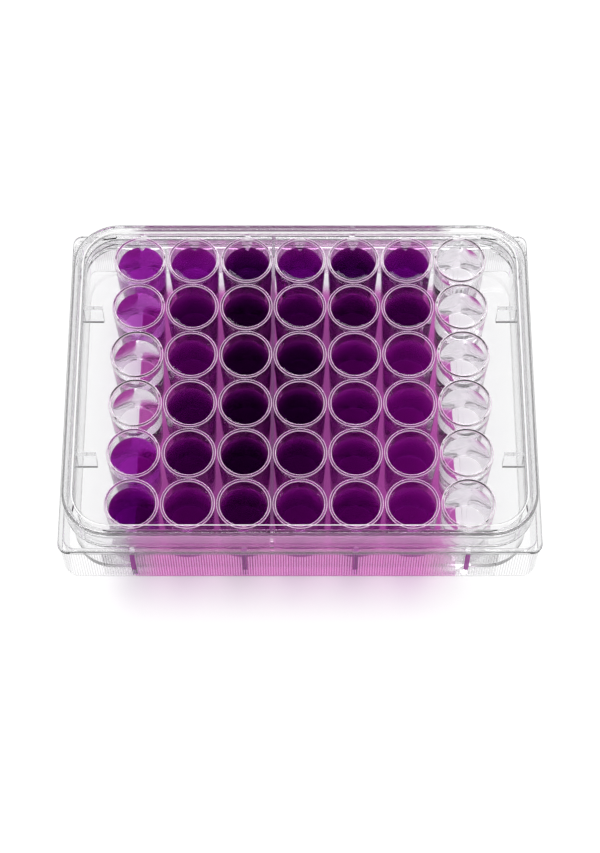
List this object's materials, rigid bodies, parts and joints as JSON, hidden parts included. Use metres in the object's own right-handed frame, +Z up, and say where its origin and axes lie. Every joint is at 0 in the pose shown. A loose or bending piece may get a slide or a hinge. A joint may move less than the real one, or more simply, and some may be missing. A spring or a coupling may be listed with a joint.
{
  "type": "well plate",
  "caption": "Clear moulded multiwell plate with round wells, a skirted base and a low lid, holding purple and clear liquid samples.",
  "frame": {"origin": "middle of the footprint, on the bench", "axes": "+X along the rows of wells, from the first column to the last; +Y from the front side to the back one, where row a is; +Z up out of the wells"},
  "size_m": [0.113, 0.0854, 0.023],
  "materials": {
    "plate": "clear, polished",
    "lid": "clear, polished",
    "liquid_clear": "clear liquid",
    "liquid_pale": "purple liquid",
    "liquid_medium": "purple liquid",
    "liquid_strong": "purple liquid",
    "liquid_dark": "purple liquid",
    "liquid_deep": "purple liquid"
  },
  "bodies": {
    "root": {"well_plate": "plate", "lid": "lid", "sample_a1": "liquid_medium", "sample_a2": "liquid_strong", "sample_a3": "liquid_deep", "sample_a4": "liquid_dark", "sample_a5": "liquid_deep", "sample_a6": "liquid_dark", "sample_a7": "liquid_clear", "sample_b1": "liquid_pale", "sample_b2": "liquid_dark", "sample_b3": "liquid_deep", "sample_b4": "liquid_dark", "sample_b5": "liquid_dark", "sample_b6": "liquid_dark", "sample_b7": "liquid_clear", "sample_c1": "liquid_clear", "sample_c2": "liquid_strong", "sample_c3": "liquid_deep", "sample_c4": "liquid_deep", "sample_c5": "liquid_strong", "sample_c6": "liquid_medium", "sample_c7": "liquid_clear", "sample_d1": "liquid_clear", "sample_d2": "liquid_dark", "sample_d3": "liquid_deep", "sample_d4": "liquid_deep", "sample_d5": "liquid_strong", "sample_d6": "liquid_medium", "sample_d7": "liquid_clear", "sample_e1": "liquid_medium", "sample_e2": "liquid_dark", "sample_e3": "liquid_deep", "sample_e4": "liquid_dark", "sample_e5": "liquid_strong", "sample_e6": "liquid_medium", "sample_e7": "liquid_clear", "sample_f1": "liquid_dark", "sample_f2": "liquid_strong", "sample_f3": "liquid_dark", "sample_f4": "liquid_strong", "sample_f5": "liquid_strong", "sample_f6": "liquid_medium", "sample_f7": "liquid_clear"}
  },
  "joints": []
}
